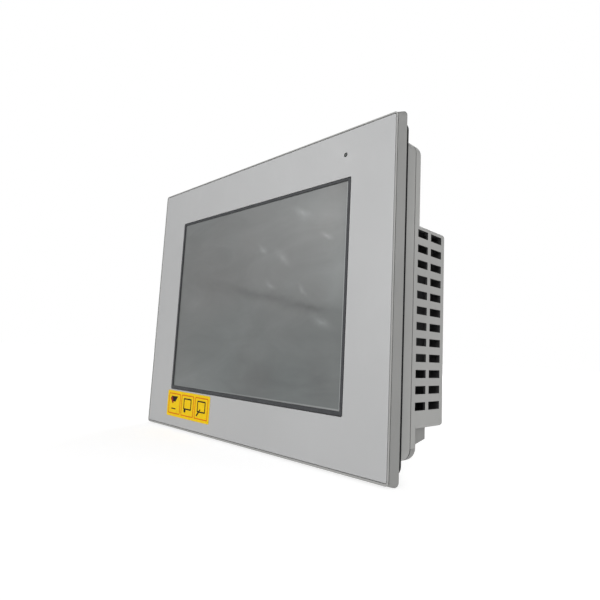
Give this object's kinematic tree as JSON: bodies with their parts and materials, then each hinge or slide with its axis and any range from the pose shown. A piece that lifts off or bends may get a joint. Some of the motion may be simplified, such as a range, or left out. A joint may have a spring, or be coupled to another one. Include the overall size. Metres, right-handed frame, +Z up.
{
  "type": "hmi touch panel",
  "caption": "Panel-mount operator terminal: framed touch display on a sealed flange, with a shallow body and a vented rear box whose ports face down.",
  "frame": {"origin": "centre of the cabinet cut-out that the body passes through, in the plane of the installation gasket's rear face", "axes": "+X to the operator's right, +Y into the cabinet, +Z up"},
  "size_m": [0.215, 0.0524, 0.1712],
  "materials": {
    "film_grey": "fine matt, light grey",
    "case_grey": "fine spark-eroded texture, grey",
    "rim_grey": "satin, dark grey",
    "touch_surface": "anti-glare, switched off",
    "display_glass": "dark",
    "gasket_rubber": "matt, black",
    "label_yellow": "printed film, yellow",
    "label_silver": "printed film, silver, blank",
    "lamp_lens": "dark lens, unlit",
    "steel": "plated",
    "aluminium": "anodised",
    "circuit_board": "solder mask, green",
    "black_plastic": "satin, black",
    "white_plastic": "satin, white",
    "green_plastic": "satin, green",
    "amber_film": "satin, amber"
  },
  "bodies": {
    "housing": {"front_case": "case_grey", "front_film": "film_grey", "window_rim": "rim_grey", "lip_seal": "gasket_rubber", "installation_gasket": "gasket_rubber", "status_lamp": "lamp_lens", "front_label": "label_yellow", "touch_panel": "touch_surface", "display_frame": "steel", "display_glass": "display_glass", "backlight_unit": "white_plastic", "chassis_plate": "steel", "display_cable": "amber_film", "touch_cable": "amber_film", "rear_cover": "case_grey", "case_seal": "gasket_rubber", "rating_label": "label_silver", "case_screw_1": "steel", "case_screw_2": "steel", "case_screw_3": "steel", "case_screw_4": "steel", "card_socket": "steel", "switch_block": "black_plastic", "expansion_connector": "black_plastic", "power_socket": "green_plastic", "serial_port_1": "steel", "serial_port_2": "steel", "serial_post_1": "steel", "serial_post_2": "steel", "serial_post_3": "steel", "serial_post_4": "steel", "network_port": "steel", "usb_host_port": "steel", "usb_host_tongue": "black_plastic", "usb_device_port": "steel", "main_board": "circuit_board", "power_board": "circuit_board", "processor": "black_plastic", "heat_sink": "aluminium", "memory_chip": "black_plastic", "power_transformer": "amber_film", "power_capacitor_1": "black_plastic", "power_capacitor_2": "black_plastic", "backup_cell": "steel", "sounder": "black_plastic"},
    "door": {"card_door": "case_grey"},
    "card": {"memory_card": "black_plastic"},
    "lever_1": {"switch_lever_1": "white_plastic"},
    "lever_2": {"switch_lever_2": "white_plastic"},
    "lever_3": {"switch_lever_3": "white_plastic"},
    "lever_4": {"switch_lever_4": "white_plastic"},
    "expansion_lid": {"expansion_cover": "case_grey"},
    "plug": {"power_plug": "green_plastic"},
    "clamp_1": {"plug_screw_1": "steel"},
    "clamp_2": {"plug_screw_2": "steel"},
    "clamp_3": {"plug_screw_3": "steel"}
  },
  "joints": [
    {"name": "door_hinge", "type": "hinge", "parent": "housing", "child": "door", "pos_m": [0.066, 0.0432, -0.0281], "axis": [-1, 0, 0], "range_deg": [0, 90]},
    {"name": "card_slide", "type": "slide", "parent": "housing", "child": "card", "axis": [-1, 0, 0], "range_m": [0, 0.014]},
    {"name": "lever_1_slide", "type": "slide", "parent": "housing", "child": "lever_1", "axis": [0, 0, 1], "range_m": [0, 0.0014]},
    {"name": "lever_2_slide", "type": "slide", "parent": "housing", "child": "lever_2", "axis": [0, 0, 1], "range_m": [0, 0.0014]},
    {"name": "lever_3_slide", "type": "slide", "parent": "housing", "child": "lever_3", "axis": [0, 0, 1], "range_m": [0, 0.0014]},
    {"name": "lever_4_slide", "type": "slide", "parent": "housing", "child": "lever_4", "axis": [0, 0, 1], "range_m": [0, 0.0014]},
    {"name": "expansion_cover_slide", "type": "slide", "parent": "housing", "child": "expansion_lid", "axis": [0, 1, 0], "range_m": [0, 0.02]},
    {"name": "plug_slide", "type": "slide", "parent": "housing", "child": "plug", "axis": [0, 0, -1], "range_m": [0, 0.02]},
    {"name": "clamp_1_turn", "type": "hinge", "parent": "plug", "child": "clamp_1", "pos_m": [-0.08362, 0.0355, -0.0696], "axis": [0, 1, 0], "continuous": true},
    {"name": "clamp_2_turn", "type": "hinge", "parent": "plug", "child": "clamp_2", "pos_m": [-0.076, 0.0355, -0.0696], "axis": [0, 1, 0], "continuous": true},
    {"name": "clamp_3_turn", "type": "hinge", "parent": "plug", "child": "clamp_3", "pos_m": [-0.06838, 0.0355, -0.0696], "axis": [0, 1, 0], "continuous": true}
  ]
}
